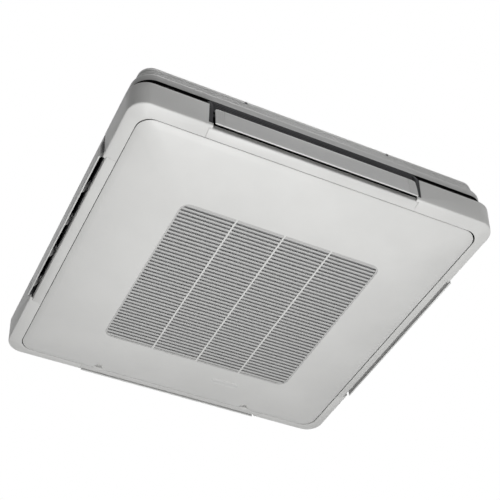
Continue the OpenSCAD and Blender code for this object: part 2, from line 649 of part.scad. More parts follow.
// The covers' inner corners are sharper than the panel's, which leaves room for its edge as it swings
module seam_cut() translate([0, 0, z_inner - 1]) linear_extrude(cover_t + 4)
    rounded(panel_half + seam_gap, panel_r - 2);
module upper_cut() translate([-1, z_rim + tab_h]) square([corner_r + 10, wall_h]);
module motor_notch() translate([wall_r - 1, z_wall - shelf_t - 1])
    square([ax + flap_motor_r + rest - wall_r + 1, shelf_t + 2]);
module inner_cut() translate([-1, z_seam - 5]) square([lip_r + rest + 1, wall_h]);
module corner_cover(k) color(pale) difference() {
    corner_body(k);
    seam_cut();
}
module corner_body(k) {
    side(k) difference() {
        run(-cc, x_lo(k) + tab_len, cc) cover_profile();
        run(x_lo(k) - wall_set, x_lo(k) + tab_len + 1, cc) upper_cut();
        run(x_lo(k) - joint_gap, x_lo(k) + tab_len + 1, cc) inner_cut();
    }
    side(k) turn(cc) cover_profile();
    side(k + 1) difference() {
        run(x_hi(k + 1) - tab_len, cc, cc) cover_profile();
        run(x_hi(k + 1) - tab_len - 1, x_hi(k + 1) + wall_set, cc) upper_cut();
        run(x_hi(k + 1) - tab_len - 1, x_hi(k + 1) + joint_gap, cc) inner_cut();
        run(x_hi(k + 1) + jamb_in, x_hi(k + 1) + jamb_in + motor_len + 2 * rest, cc) motor_notch();
    }
}

// Lips: the strips under the outlets, a little inside the corner covers
lip_edge = 4;
lip_top = 3.2;
function lip_skin(d) = let (x = lip_r - lip_edge,
    z = z_inner + (x + lip_edge * sin(tilt) - seam_r) * tan(tilt) + lip_edge * cos(tilt))
    concat([[seam_r, z_inner + d / cos(tilt)]],
    arc(x, z, lip_edge - d, tilt - 90, 0, 6), [[lip_r - d, z_rim + lip_top]]);
module lip(k) color(pale) side(k) run(x_lo(k), x_hi(k), cc)
    polygon(concat(lip_skin(0), back(lip_skin(cover_t))));

// Base frame: a deck with a seam wall, a recessed wall at each corner and four posts
seam_wall = seam_r + 1.8;
wall_low = z_inner + (seam_wall + deck_t - seam_r) * tan(tilt) + cover_t / cos(tilt) + rest;
cap_w = casing_r - lip_in - rest - (wall_r - deck_t + cc - fc);
deck_in = panel_half - 177;
jamb_in = jamb_w / 2;
motor_len = 17;
hinge_r = 4;
pin_r = 2;
hinge_w = 10;
hinge_y = panel_half - 17;
z_hinge = z_seam + 3.6;
latch_y = panel_half - 13;
catch_y = panel_half - 7;
tongue_t = 2;
z_tongue = z_inner + 5.8;
latch_w = 20;
module corner_section() polygon([[0, z_under], [seam_wall, z_under], [seam_wall, wall_low],
    [seam_wall + deck_t, wall_low], [seam_wall + deck_t, z_under], [wall_r, z_under],
    [wall_r, z_flange], [wall_r - deck_t, z_flange], [wall_r - deck_t, z_deck], [0, z_deck]]);
module cap_section() translate([casing_r - lip_in - rest - cap_w, z_flange - deck_t]) square([cap_w, deck_t]);
module outlet_section() polygon([[0, z_under], [seam_wall, z_under], [seam_wall, wall_low],
    [seam_wall + deck_t, wall_low], [seam_wall + deck_t, z_deck], [0, z_deck]]);
module base_frame() color(black) difference() {
    union() {
        for (k = [0:3]) side(k) {
            run(-cc, x_lo(k) - jamb_in - rest, cc) corner_section();
            run(x_lo(k) - jamb_in - rest, x_hi(k) + jamb_in + rest, cc) outlet_section();
            run(x_hi(k) + jamb_in + rest, cc, cc) corner_section();
            turn(cc) corner_section();
            run(-fc, x_lo(k) - jamb_in - rest, fc) cap_section();
            run(x_hi(k) + jamb_in + rest, fc, fc) cap_section();
            turn(fc) cap_section();
        }
        translate([0, 0, z_under]) linear_extrude(deck_t) difference() {
            square(2 * cc, center = true);
            rounded(deck_in, 30);
        }
        for (a = [-1, 1], b = [-1, 1]) translate([a * post_at, b * post_at, z_under])
            cylinder(r = post_r, h = z_ceil - z_under, $fn = 48);
        for (s = [-1, 1]) translate([s * hinge_x, -hinge_y, 0]) {
            translate([-hinge_w / 2, -hinge_r, z_hinge]) cube([hinge_w, 2 * hinge_r, z_under + 1 - z_hinge]);
            translate([-hinge_w / 2, 0, z_hinge]) rotate([0, 90, 0])
                cylinder(r = hinge_r, h = hinge_w, $fn = 48);
        }
        for (s = [-1, 1]) translate([s * latch_x - latch_w / 2 - 2, catch_y, z_tongue - rest - 1.5])
            cube([latch_w + 4, cc + seam_wall + 1 - catch_y, 1.5]);
    }
    for (k = [0:3]) side(k) translate([x_hi(k) + jamb_in - 1, cc + wall_r - 12, z_rim + axis_h - 16])
        cube([motor_len + 8, 24, 32]);
    for (a = [-1, 1], b = [-1, 1]) translate([a * post_at, b * post_at, z_under - 1])
        cylinder(r = 2.6, h = 26, $fn = 32);
    for (s = [-1, 1]) translate([s * hinge_x - hinge_w, -hinge_y, z_hinge]) rotate([0, 90, 0])
        cylinder(r = pin_r + run_gap, h = 2 * hinge_w, $fn = 48);
}

// Screws: four under the deck into the posts, and two on each side of the casing
wall_tilt = atan((foot.x - head.x) / (head.y - foot.y));
screw_x = 180;
screw_z = z_top - 7.9;
module screws() color([0.30, 0.30, 0.31]) {
    for (a = [-1, 1], b = [-1, 1]) translate([a * post_at, b * post_at, z_under]) {
        translate([0, 0, -3]) cylinder(r = 5.5, h = 3, $fn = 32);
        translate([0, 0, -1]) cylinder(r = 2.5, h = 21, $fn = 32);
    }
    for (k = [0:3], s = [-1, 1]) side(k)
        translate([s * screw_x, fc + on_wall(screw_z, -0.1).x, screw_z])
            rotate([wall_tilt - 90, 0, 0]) cylinder(r1 = 3.8, r2 = 2.8, h = 1.4, $fn = 32);
}

// Outlet frames: the duct's curved back and floor, a jamb at each end and a band over the flap
ax = corner_r - axis_in;
az = z_rim + axis_h;
band_r = ax + 10;
band_t = 3;
band_low = az + 2;
guide_t = 2;
guide_in = wall_r - 81;
guide_hi = z_rim + 75;
jamb_top = casing_r - 3 - (cc - fc);
function guide(d) = concat([[lip_r - 1.4, z_rim + lip_top + rest + d],
    [lip_r - 6, z_rim + lip_top + 2.6 + d], [seam_wall + deck_t + 1 + d, z_deck + 0.5 + d]],
    arc(guide_in + 40, z_deck + 42, 40 - d, 264, 180, 7), [[guide_in + d, guide_hi]]);
module guide_profile() polygon(concat(guide(0), back(guide(guide_t))));
module jamb_profile() polygon(concat([[lip_r - 1.4, z_rim + tab_h + rest],
    [skin_x(z_rim + tab_h, 1), z_rim + tab_h + rest], [skin_x(z_wall, 1), z_wall],
    [jamb_top, z_flange - rest], [guide_in + 30, z_flange - rest], [guide_in, guide_hi]],
    back(guide(0))));
module band_profile() polygon(concat([[band_r, z_flange - rest], [band_r - band_t, z_flange - rest],
    [band_r - band_t, band_low], [band_r - 0.6, band_low]],
    [for (i = [0:4], s = [0:3]) [band_r - [0, 0, 0.6, 0.6][s],
        band_low + (z_flange - rest - band_low) * (i + [0.08, 0.86, 0.86, 1.08][s]) / 5.2]]));
module jamb(x) difference() {
    run(x - jamb_in, x + jamb_in, cc) jamb_profile();
    translate([x - jamb_in - 1, cc + ax, az]) rotate([0, 90, 0])
        cylinder(r = rod_r + run_gap, h = jamb_w + 2, $fn = 48);
}
module outlet_frame(k) color(charcoal) side(k) {
    run(x_lo(k), x_hi(k), cc) guide_profile();
    run(x_lo(k), x_hi(k), cc) band_profile();
    jamb(x_lo(k));
    jamb(x_hi(k));
}

// Flap motors, one beyond each outlet, in line with the flap's rod
flap_motor_r = 8.8;
module flap_motors() color([0.80, 0.80, 0.78]) for (k = [0:3]) side(k)
    translate([x_hi(k) + jamb_in + rest, cc + ax, az]) {
        rotate([0, 90, 0]) cylinder(r = flap_motor_r, h = motor_len, $fn = 48);
        translate([0, -5, -13]) cube([2, 10, 26]);
    }

// Flaps: a slightly bowed blade on bored arms, with a rounded lower edge and grooves near its ends
bow = 0.7;
bead_r = 1.9;
groove_w = 1.8;
groove_d = 0.6;
groove_step = 5;
round_r = 8;
arm_t = 3.2;
boss_w = 9;
arm_boss = 5.6;
blade_top = [corner_r + flap_top_out, z_rim + flap_top];
blade_low = [corner_r + flap_out - bead_r, z_rim + flap_low + bead_r];
function blade_x(u, d) = blade_low.x + bead_r + (blade_top.x - blade_low.x - bead_r) * u
    + bow * sin(180 * u) - d;
function blade_z(u) = blade_low.y + (blade_top.y - blade_low.y) * u;
module blade_profile(d0, d1) polygon(concat([for (i = [0:8]) [blade_x(i / 8, d0), blade_z(i / 8)]],
    [for (i = [8:-1:0]) [blade_x(i / 8, d1), blade_z(i / 8)]]));
module arm_profile() difference() {
    union() {
        translate([ax, az]) circle(arm_boss, $fn = 48);
        polygon([[ax - 2, az - 4], [ax + 4, az - 3.4], [blade_x(0.72, flap_t) + 1, blade_z(0.72)],
            [blade_x(0.2, flap_t) + 1, blade_z(0.2)], [blade_x(0.42, flap_t) - 9, blade_z(0.42)]]);
    }
    translate([ax, az]) circle(rod_r + run_gap, $fn = 48);
}
module boss_profile() difference() {
    translate([ax, az]) circle(arm_boss, $fn = 48);
    translate([ax, az]) circle(rod_r + run_gap, $fn = 48);
}
module flap_outline() {
    low = blade_low.y - 5;
    translate([-flap_len / 2, low]) square([flap_len, blade_top.y - low - round_r]);
    translate([-flap_len / 2 + round_r, low]) square([flap_len - 2 * round_r, blade_top.y - low]);
    for (s = [-1, 1]) translate([s * (flap_len / 2 - round_r), blade_top.y - round_r])
        circle(round_r, $fn = 48);
}
module flap(k) color([0.62, 0.62, 0.61]) side(k) {
    mid = shifts[k];
    difference() {
        intersection() {
            run(mid - flap_len / 2, mid + flap_len / 2, cc) blade_profile(0, flap_t);
            translate([mid, cc + corner_r + 20, 0]) rotate([90, 0, 0]) linear_extrude(60) flap_outline();
        }
        for (s = [-1, 1], i = [1:4]) let (x = mid + s * (flap_len / 2 - groove_step * i))
            run(x - groove_w / 2, x + groove_w / 2, cc) blade_profile(-1, groove_d);
    }
    run(mid - flap_len / 2, mid + flap_len / 2, cc) translate(blade_low) circle(bead_r, $fn = 32);
    for (i = [0:arms_n - 1]) let (x = mid + (i - (arms_n - 1) / 2) * arm_pitch) {
        run(x - arm_t / 2, x + arm_t / 2, cc) arm_profile();
        run(x - boss_w / 2, x + boss_w / 2, cc) boss_profile();
    }
}
module flap_rod(k) color(charcoal) side(k) translate([x_lo(k) - jamb_in + 1, cc + ax, az]) rotate([0, 90, 0])
    cylinder(r = rod_r, h = outlet_len + 2 * jamb_in - 1, $fn = 48);

// Suction panel: a shallow dome between its edge and the louvred opening
rings_n = 10;
segs_n = 10;
rim_t = 5.5;
rim_w = 3;
panel_edge = 1;
function dome_t(h) = (panel_half - h) / (panel_half - grille_half);
function dome_z(h) = z_seam - dome_h * (1 - pow(1 - dome_t(h), 2));
function dome_r(h) = panel_r + (grille_r - panel_r) * dome_t(h);
function ring(h, r, z) = [for (k = [0:3], i = [0:segs_n]) let (a = 90 * (k + i / segs_n))
    [(h - r) * [1, -1, -1, 1][k] + r * cos(a), (h - r) * [1, 1, -1, -1][k] + r * sin(a), z]];
module dome() {
    inner = grille_half + rim_w;
    start = panel_half - panel_edge;
    steps = [for (i = [0:rings_n]) start + (grille_half - start) * i / rings_n];
    up = [for (i = [0:rings_n]) panel_half + (inner - panel_half) * i / rings_n];
    rounding = [for (a = [90, 45]) panel_edge * [1 - sin(a), 1 - cos(a)]];
    rings = concat([for (e = rounding) ring(panel_half - e[0], panel_r - e[0], z_seam + e[1])],
        [for (h = steps) ring(h, dome_r(h), dome_z(h))],
        [ring(grille_half, grille_r, z_face + rim_t), ring(inner, grille_r + rim_w, z_face + rim_t)],
        [for (h = back(up)) ring(h, dome_r(h), dome_z(h) + panel_t)]);
    m = 4 * (segs_n + 1);
    n = len(rings);
    polyhedron([for (r = rings, p = r) p], [for (i = [0:n - 1], j = [0:m - 1], s = [0, 1])
        let (a = i * m, b = ((i + 1) % n) * m, q = (j + 1) % m)
            s == 0 ? [a + j, a + q, b + q] : [a + j, b + q, b + j]]);
}
pad_low = dome_z(latch_y - 14) + 1;
stem_w = 12;
stem_d = 4;
module latch_hole(s) translate([s * latch_x - stem_w / 2 - 0.5, latch_y - stem_d / 2 - latch_travel - 0.5,
    z_face]) cube([stem_w + 1, stem_d + latch_travel + 1, 60]);
module suction_panel() color(pale) difference() {
    union() {
        dome();
        for (s = [-1, 1]) intersection() {
            translate([s * latch_x - latch_w / 2 - 4, latch_y - 14, pad_low])
                cube([latch_w + 8, 18, z_tongue - rest - pad_low]);
            translate([s * latch_x, latch_y - 14, 0]) rotate([90, 0, 90]) translate([0, 0, -latch_w])
                linear_extrude(2 * latch_w) polygon([[0, dome_z(latch_y - 14) + 1.5],
                    [18, dome_z(latch_y + 4) + 1.5], [18, z_tongue], [0, z_tongue]]);
        }
    }
    latch_hole(-1);
    latch_hole(1);
}

// Latches: a finger plate under the panel, a stem and a tongue that reaches over its catch
knob_r = 3;
knob_t = 2.2;
knob_top = dome_z(latch_y - latch_travel - knob_r) - rest;
module latch(s) color([0.80, 0.80, 0.78]) translate([s * latch_x, latch_y, 0]) {
    translate([-latch_w / 2, -14, z_tongue]) cube([latch_w, catch_y + 5 - latch_y + 14, tongue_t]);
    translate([-stem_w / 2, -stem_d / 2, knob_top - 1]) cube([stem_w, stem_d, z_tongue + 2 - knob_top]);
    translate([0, 0, knob_top - knob_t]) linear_extrude(knob_t) {
        square([latch_w - 2, 2 * knob_r], center = true);
        for (a = [-1, 1]) translate([a * (latch_w / 2 - 1), 0]) circle(knob_r, $fn = 32);
    }
}

// Louvred grille: an edge ring, the slats and three ribs across them
slat_pitch = (grille_w - 2 * rest - 4) / slats_n;
edge_w = 4;
slat_z = z_face + 1.2;
module slat() translate([-grille_half + edge_w, 0, slat_z]) rotate([90, 0, 90])
    linear_extrude(grille_w - 2 * edge_w) polygon([[-slat_w / 2, slat_t], [-slat_w / 2, 0.7],
        [-slat_w / 2 + 0.7, 0], [slat_w / 2 - 0.7, 0], [slat_w / 2, 0.7], [slat_w / 2, slat_t]]);
module grille_slats() color(pale) {
    translate([0, 0, z_face + 0.4]) linear_extrude(rim_t - 1) difference() {
        rounded(grille_half - rest, grille_r - rest);
        rounded(grille_half - edge_w, grille_r - edge_w);
    }
    intersection() {
        for (i = [0:slats_n - 1]) translate([0, (i - (slats_n - 1) / 2) * slat_pitch, 0]) slat();
        translate([0, 0, z_face]) linear_extrude(rim_t) rounded(grille_half - 1, grille_r - 1);
    }
    for (i = [-1:1]) translate([i * rib_pitch - rib_w / 2, -grille_half + edge_w - 1, z_face + 0.2])
        cube([rib_w, grille_w - 2 * edge_w + 2, rim_t - 1.2]);
}

// Badge plate: a bare oval on the panel, behind the grille
badge_x = 107;
badge_y = grille_half + 62;
badge_w = 74;
badge_d = 9;
badge_t = 0.8;
badge_tilt = atan((dome_z(badge_y + 5) - dome_z(badge_y - 5)) / 10);
module badge_plate() color([0.80, 0.80, 0.79]) translate([badge_x, badge_y, dome_z(badge_y) - 0.1])
    rotate([badge_tilt, 0, 0]) translate([0, 0, -badge_t]) linear_extrude(badge_t) {
        square([badge_w - badge_d, badge_d], center = true);
        for (s = [-1, 1]) translate([s * (badge_w - badge_d) / 2, 0]) circle(badge_d / 2, $fn = 48);
    }

// Panel hinges: two ears with a pin beside each of the frame's lugs
ear_w = 4;
ear_back = 16;
module panel_hinges() color(pale) for (s = [-1, 1]) translate([s * hinge_x, -hinge_y, 0]) {
    for (e = [-1, 1]) translate([e * (hinge_w / 2 + ear_w / 2 + 0.4), 0, 0]) {
        translate([-ear_w / 2, 0, z_hinge]) rotate([0, 90, 0]) cylinder(r = hinge_r, h = ear_w, $fn = 48);
        translate([-ear_w / 2, 0, 0]) rotate([90, 0, 90]) linear_extrude(ear_w)
            polygon([[-hinge_r, z_hinge], [-hinge_r, dome_z(hinge_y + hinge_r) + panel_t + rest],
                [ear_back, dome_z(hinge_y - ear_back) + panel_t + rest],
                [ear_back, dome_z(hinge_y - ear_back) + 8], [hinge_r, z_hinge + 1]]);
    }
    translate([-hinge_w / 2 - ear_w, 0, z_hinge]) rotate([0, 90, 0])
        cylinder(r = pin_r, h = hinge_w + 2 * ear_w, $fn = 48);
}

// Filter: a frame that rests on the opening's rim, with a net in it
filter_half = grille_half + 8;
filter_t = 5;
filter_bar = 10;
net_z = 0.4;
net_t = 0.8;
net_top = net_z + net_t + 0.4;
z_filter = z_face + rim_t + rest;
module filter_frame() color([0.30, 0.31, 0.33]) translate([0, 0, z_filter]) {
    linear_extrude(filter_t) difference() {
        rounded(filter_half, grille_r);
        rounded(filter_half - filter_bar, grille_r - 8);
    }
    for (i = [-1:1]) translate([i * rib_pitch - rib_w / 2, -filter_half + 9, net_top])
        cube([rib_w, 2 * filter_half - 18, filter_t - net_top]);
}
module filter_net() color([0.14, 0.14, 0.15]) translate([0, 0, z_filter + net_z]) linear_extrude(net_t)
    rounded(filter_half - filter_bar - rest, grille_r - 8 - rest);

top_plate();
top_casing();
hanger_brackets();
foam_lining();
coil_fins();
coil_ends();
coil_tubes();
gas_pipe();
liquid_pipe();
flare_nuts();
drain_pan();
drain_pump();
drain_socket();
float_guide();
float();
bell_mouth();
motor_bracket();
motor_grommets();
fan_motor();
motor_shaft();
turbo_fan();
fan_nut();
control_box();
control_box_cover();
circuit_board();
terminal_block();
cable_bush();
base_frame();
screws();
corner_cover(0);  // corner_cover_back_left
corner_cover(1);  // corner_cover_front_left
corner_cover(2);  // corner_cover_front_right
corner_cover(3);  // corner_cover_back_right
lip(0);  // lip_back
lip(1);  // lip_left
lip(2);  // lip_front
lip(3);  // lip_right
outlet_frame(0);  // outlet_frame_back
outlet_frame(1);  // outlet_frame_left
outlet_frame(2);  // outlet_frame_front
outlet_frame(3);  // outlet_frame_right
flap_motors();
flap(0);  // flap_back
flap(1);  // flap_left
flap(2);  // flap_front
flap(3);  // flap_right
flap_rod(0);  // flap_rod_back
flap_rod(1);  // flap_rod_left
flap_rod(2);  // flap_rod_front
flap_rod(3);  // flap_rod_right
suction_panel();
grille_slats();
badge_plate();
panel_hinges();
latch(-1);  // latch_left
latch(1);  // latch_right
filter_frame();
filter_net();
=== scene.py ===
import json
import math

import bpy
from mathutils import Matrix, Vector


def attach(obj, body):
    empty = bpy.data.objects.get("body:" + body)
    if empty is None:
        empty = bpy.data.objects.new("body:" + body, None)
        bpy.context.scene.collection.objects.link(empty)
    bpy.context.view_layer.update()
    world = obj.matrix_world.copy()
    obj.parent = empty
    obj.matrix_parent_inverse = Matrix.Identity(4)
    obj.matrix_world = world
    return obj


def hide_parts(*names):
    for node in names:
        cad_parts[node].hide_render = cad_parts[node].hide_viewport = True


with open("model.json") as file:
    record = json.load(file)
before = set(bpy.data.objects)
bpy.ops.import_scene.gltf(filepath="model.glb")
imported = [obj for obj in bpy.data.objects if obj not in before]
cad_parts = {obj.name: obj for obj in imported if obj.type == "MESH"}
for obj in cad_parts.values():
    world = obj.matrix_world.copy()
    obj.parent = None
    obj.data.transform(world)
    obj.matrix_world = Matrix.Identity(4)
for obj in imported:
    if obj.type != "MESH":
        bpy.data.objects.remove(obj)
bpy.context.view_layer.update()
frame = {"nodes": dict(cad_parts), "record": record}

nodes = frame["nodes"]
HAIR = 0.0001  # slack, in metres, for corners that are chosen by their place
BODY_OF = {node: body
           for body, held in frame["record"]["behaviour"]["bodies"].items() for node in held}
SIDES = ("back", "left", "front", "right")
CORNERS = ("back_left", "front_left", "front_right", "back_right")


class Field:
    """One socket of a shader tree, so that arithmetic on it reads as an expression."""

    def __init__(self, tree, socket):
        self.tree, self.socket = tree, socket

    def _with(self, operation, a, b=0.0):
        return self.tree.node("Math", {"operation": operation}, {0: a, 1: b})

    def __add__(self, other):
        return self._with("ADD", self, other)

    def __radd__(self, other):
        return self._with("ADD", other, self)

    def __sub__(self, other):
        return self._with("SUBTRACT", self, other)

    def __rsub__(self, other):
        return self._with("SUBTRACT", other, self)

    def __mul__(self, other):
        return self._with("MULTIPLY", self, other)

    def __rmul__(self, other):
        return self._with("MULTIPLY", other, self)

    def __gt__(self, other):
        return self._with("GREATER_THAN", self, other)

    def __lt__(self, other):
        return self._with("LESS_THAN", self, other)

    def __abs__(self):
        return self._with("ABSOLUTE", self)

    def sine(self):
        return self._with("SINE", self)

    def or_else(self, other):
        """The larger of two fields: either of two masks."""
        return self._with("MAXIMUM", self, other)


class ShaderTree:
    """The node tree of a material or of the world; every node in it comes from node()."""

    def __init__(self, owner):
        owner.use_nodes = True
        self.nodes, self.links = owner.node_tree.nodes, owner.node_tree.links

    def node(self, kind, settings=(), inputs=(), output=0):
        made = self.nodes.new("ShaderNode" + kind)
        for name, value in dict(settings).items():
            setattr(made, name, value)
        for name, value in dict(inputs).items():
            if isinstance(value, Field):
                self.links.new(value.socket, made.inputs[name])
            else:
                made.inputs[name].default_value = value
        return Field(self, made.outputs[output])

    def show(self, output, shader):
        """Link a shader to the tree's output node."""
        self.links.new(shader.socket, self.nodes[output].inputs["Surface"])


class Finish(ShaderTree):
    """A material made of a Principled shader and procedural patterns in object space."""

    def __init__(self, name, **constants):
        self.material = bpy.data.materials.new(name)
        super().__init__(self.material)
        self.shader = self.nodes["Principled BSDF"]
        for socket, value in constants.items():
            self.shader.inputs[socket.replace("_", " ")].default_value = value
        self.place = self.node("TexCoord", output="Object")

    def noise(self, scale, detail=3.0, place=None):
        """Cloudy pattern from 0 to 1 with about scale lumps a metre."""
        return self.node("TexNoise", {}, {"Vector": place or self.place, "Scale": scale,
                                          "Detail": detail})

    def cells(self, scale, feature="F1", output=0):
        """Cells of 1 / scale metres: 0 at their middles, or at their borders."""
        return self.node("TexVoronoi", {"feature": feature},
                         {"Vector": self.place, "Scale": scale}, output)

    def part(self, vector, axis):
        return self.node("SeparateXYZ", {}, {0: vector}, axis)

    def stretched(self, x, y, z):
        """Object space squeezed along each axis, for streaks and grain."""
        return self.node("Mapping", {}, {"Vector": self.place, "Scale": (x, y, z)})

    def smooth(self, value, low, high):
        """0 below low and 1 above high, with a soft step between."""
        return self.node("MapRange", {"interpolation_type": "SMOOTHSTEP"},
                         {"Value": value, "From Min": low, "From Max": high})

    def blend(self, share, first, second):
        """Colour that goes from first to second as share goes from 0 to 1."""
        first, second = (c if isinstance(c, Field) else (*c, 1.0) for c in (first, second))
        return self.node("Mix", {"data_type": "RGBA"}, {0: share, 6: first, 7: second}, 2)

    def wear(self, colour, roughness=None, relief=None, depth=0.0):
        """Link what changes over the surface; relief stands up by depth metres."""
        self.links.new(colour.socket, self.shader.inputs["Base Color"])
        if roughness is not None:
            self.links.new(roughness.socket, self.shader.inputs["Roughness"])
        if relief is not None:
            bump = self.node("Bump", {}, {"Height": relief, "Distance": depth, "Strength": 1.0})
            self.links.new(bump.socket, self.shader.inputs["Normal"])
        return self.material


def shade(colour, factor):
    return tuple(c * factor for c in colour)


def moulded(name, colour, rough, grain=1500.0, depth=0.00002, cloud=0.03, gloss=0.5):
    """Injection-moulded plastic: faint flow clouds, a fine texture and patchy sheen."""
    f = Finish(name, Roughness=rough, Specular_IOR_Level=gloss)
    flow = f.noise(7.0, 4.0)
    speck = f.noise(grain, 2.0)
    handled = f.noise(24.0, 6.0)
    tone = f.blend(f.smooth(flow, 0.3, 0.7), shade(colour, 1 - cloud),
                   shade(colour, 1 + cloud * 0.5))
    return f.wear(tone, rough + 0.10 * (handled - 0.5) + 0.05 * (speck - 0.5), speck, depth)


WHITE = (0.80, 0.80, 0.785)
RIB_PITCH, RIB_HALF = 0.119, 0.0022  # the grille's three ribs: their spacing and half a width
FIN_PITCH = 0.0016  # the heat exchanger's fins
THREAD_PITCH = 0.0014  # the filter's net


def slat_plastic():
    """The slats' plastic, painted darker than its white as shade for the slats' rounded faces, with
    clouds in that tone and the ribs across it in plain white.
    """
    f = Finish("slat_moulding", Roughness=0.5)
    x = abs(f.part(f.place, 0))
    rib = (x < RIB_HALF) + (abs(x - RIB_PITCH) < RIB_HALF)
    dust = f.noise(9.0, 4.0)
    # painted shade: the slats' white plastic made darker all over for the shade on their rounded
    # faces; the noise named dust only varies that tone a little
    shaded_slat_tone = f.blend(dust, (0.58, 0.58, 0.57), (0.63, 0.63, 0.62))
    speck = f.noise(1200.0, 2.0)
    return f.wear(f.blend(rib, shaded_slat_tone, WHITE), 0.52 + 0.08 * (dust - 0.5), speck, 0.00002)


def flap_plastic():
    """The flaps' plastic, with a brushed hint of dust along the blade."""
    f = Finish("flap_moulding", Roughness=0.40)
    streak = f.noise(1.0, 3.0, f.stretched(14.0, 14.0, 120.0))
    speck = f.noise(1600.0, 2.0)
    tone = f.blend(streak, (0.78, 0.78, 0.77), (0.81, 0.81, 0.80))
    return f.wear(tone, 0.38 + 0.08 * streak, speck, 0.00001)


def casing_paint():
    """Stoved paint on pressed sheet: orange peel, with a little dust on what faces up."""
    f = Finish("stoved_paint", Roughness=0.45)
    peel = f.noise(420.0, 1.0)
    cloud = f.noise(14.0, 6.0)
    facing = f.node("TexCoord", output="Normal")
    up = f.smooth(f.part(facing, 2), 0.6, 1.0)
    dust = up * f.smooth(cloud, 0.3, 0.8)
    tone = f.blend(dust * 0.35, (0.76, 0.76, 0.75), (0.66, 0.65, 0.62))
    return f.wear(tone, 0.42 + 0.25 * dust + 0.06 * (peel - 0.5), peel, 0.00004)


def foam():
    """Dark expanded foam: fused beads a few millimetres across, darker at their borders as painted
    shade in the creases between them.
    """
    f = Finish("bead_foam", Roughness=0.85, Specular_IOR_Level=0.1)
    bead = f.cells(330.0)
    edge = f.smooth(bead, 0.2, 0.75)
    # painted shade: the bead borders darker, for the creases between beads
    tone = f.blend(edge * 0.6, (0.022, 0.022, 0.023), (0.010, 0.010, 0.010))
    return f.wear(tone, 0.75 + 0.15 * edge, 1 - bead, 0.0004)


def fins():
    """Aluminium fins on edge: upright lines with a few bent ones, turned on each side; the dark
    between the lines is painted shade of the gaps between fins.
    """
    f = Finish("fin_stock", Metallic=0.9)
    x, y = f.part(f.place, 0), f.part(f.place, 1)
    side = abs(x) > abs(y)
    along = x * (1 - side) + y * side
    bent = f.noise(26.0, 4.0)
    line = (along * (2 * math.pi / FIN_PITCH) + bent * 3.0).sine()
    # painted shade: dark where the gaps between the fins would be, bright on the fins
    tone = f.blend(f.smooth(line, -0.9, 0.6), (0.22, 0.23, 0.24), (0.78, 0.80, 0.82))
    return f.wear(tone, 0.34 + 0.2 * bent, line, 0.0004)


def metal(name, colour, rough, streak_scale, spots=0.12):
    """Bare or plated metal with upright drawn streaks and dull spots."""
    f = Finish(name, Metallic=1.0)
    drawn = f.noise(1.0, 5.0, f.stretched(60.0, 60.0, streak_scale))
    dull = f.smooth(f.noise(40.0, 6.0), 0.45, 0.75)
    tone = f.blend(dull * 0.6, colour, shade(colour, 1 - 3 * spots))
    return f.wear(tone, rough + spots * dull + 0.1 * (drawn - 0.5), drawn, 0.00003)


def zinc_steel():
    """Galvanised sheet with its spangle."""
    f = Finish("zinc_sheet", Metallic=1.0)
    spangle = f.cells(130.0, output="Color")
    grey = f.node("SeparateColor", {}, {0: spangle})
    tone = f.blend(grey, (0.44, 0.45, 0.47), (0.54, 0.55, 0.57))
    return f.wear(tone, 0.40 + 0.12 * grey, grey, 0.00001)


def net():
    """Woven net of crossing grey threads."""
    f = Finish("filter_weave", Roughness=0.7)
    a, b = ((f.part(f.place, axis) * (2 * math.pi / THREAD_PITCH)).sine() for axis in (0, 1))
    weave = (a * a + b * b) * 0.5
    tone = f.blend(f.smooth(weave, 0.3, 0.9), (0.28, 0.28, 0.282), (0.44, 0.44, 0.445))
    return f.wear(tone, 0.6 + 0.2 * weave, weave, 0.0003)


def board():
    """Circuit board: green mask over a maze of tracks."""
    f = Finish("board_mask", Roughness=0.35)
    track = f.smooth(f.cells(260.0, "DISTANCE_TO_EDGE"), 0.05, 0.12)
    tone = f.blend(track, (0.06, 0.26, 0.12), (0.02, 0.13, 0.06))
    return f.wear(tone, 0.3 + 0.2 * f.noise(60.0), track, 0.00005)


# One finish for each of the record's material slots, and one for the slats
FINISHES = {
    "casing_paint": casing_paint(),
    "white_plastic": moulded("white_moulding", WHITE, 0.42),
    "flap_plastic": flap_plastic(),
    "slats": slat_plastic(),
    "charcoal_plastic": moulded("charcoal_moulding", (0.076, 0.076, 0.080), 0.6,
                                1100.0, 0.00002, 0.2, 0.08),
    "black_plastic": moulded("black_moulding", (0.008, 0.008, 0.008), 0.7,
                             900.0, 0.00003, 0.2, 0.1),
    "foam": foam(),
    "fin_aluminium": fins(),
    "copper": metal("drawn_copper", (0.75, 0.38, 0.22), 0.32, 8.0),
    "nut_brass": metal("turned_brass", (0.72, 0.52, 0.22), 0.28, 900.0),
    "zinc_steel": zinc_steel(),
    "dark_steel": metal("black_steel", (0.12, 0.12, 0.125), 0.42, 500.0),
    "fan_plastic": moulded("fan_moulding", (0.78, 0.78, 0.76), 0.5, 700.0, 0.00004, 0.05),
    "pump_plastic": moulded("ivory_moulding", (0.70, 0.69, 0.62), 0.45, 900.0, 0.00003, 0.05),
    "hose_plastic": moulded("grey_hose", (0.13, 0.13, 0.14), 0.5, 800.0, 0.00005, 0.1),
    "rubber": moulded("black_rubber", (0.010, 0.010, 0.010), 0.8, 600.0, 0.00005, 0.3, 0.1),
    "board_green": board(),
    "filter_net": net(),
    "filter_frame": moulded("filter_edging", (0.05, 0.052, 0.056), 0.5, 900.0, 0.00004, 0.1),
    "badge_plate": moulded("badge_moulding", (0.78, 0.78, 0.77), 0.3, 1500.0, 0.00001, 0.02),
}
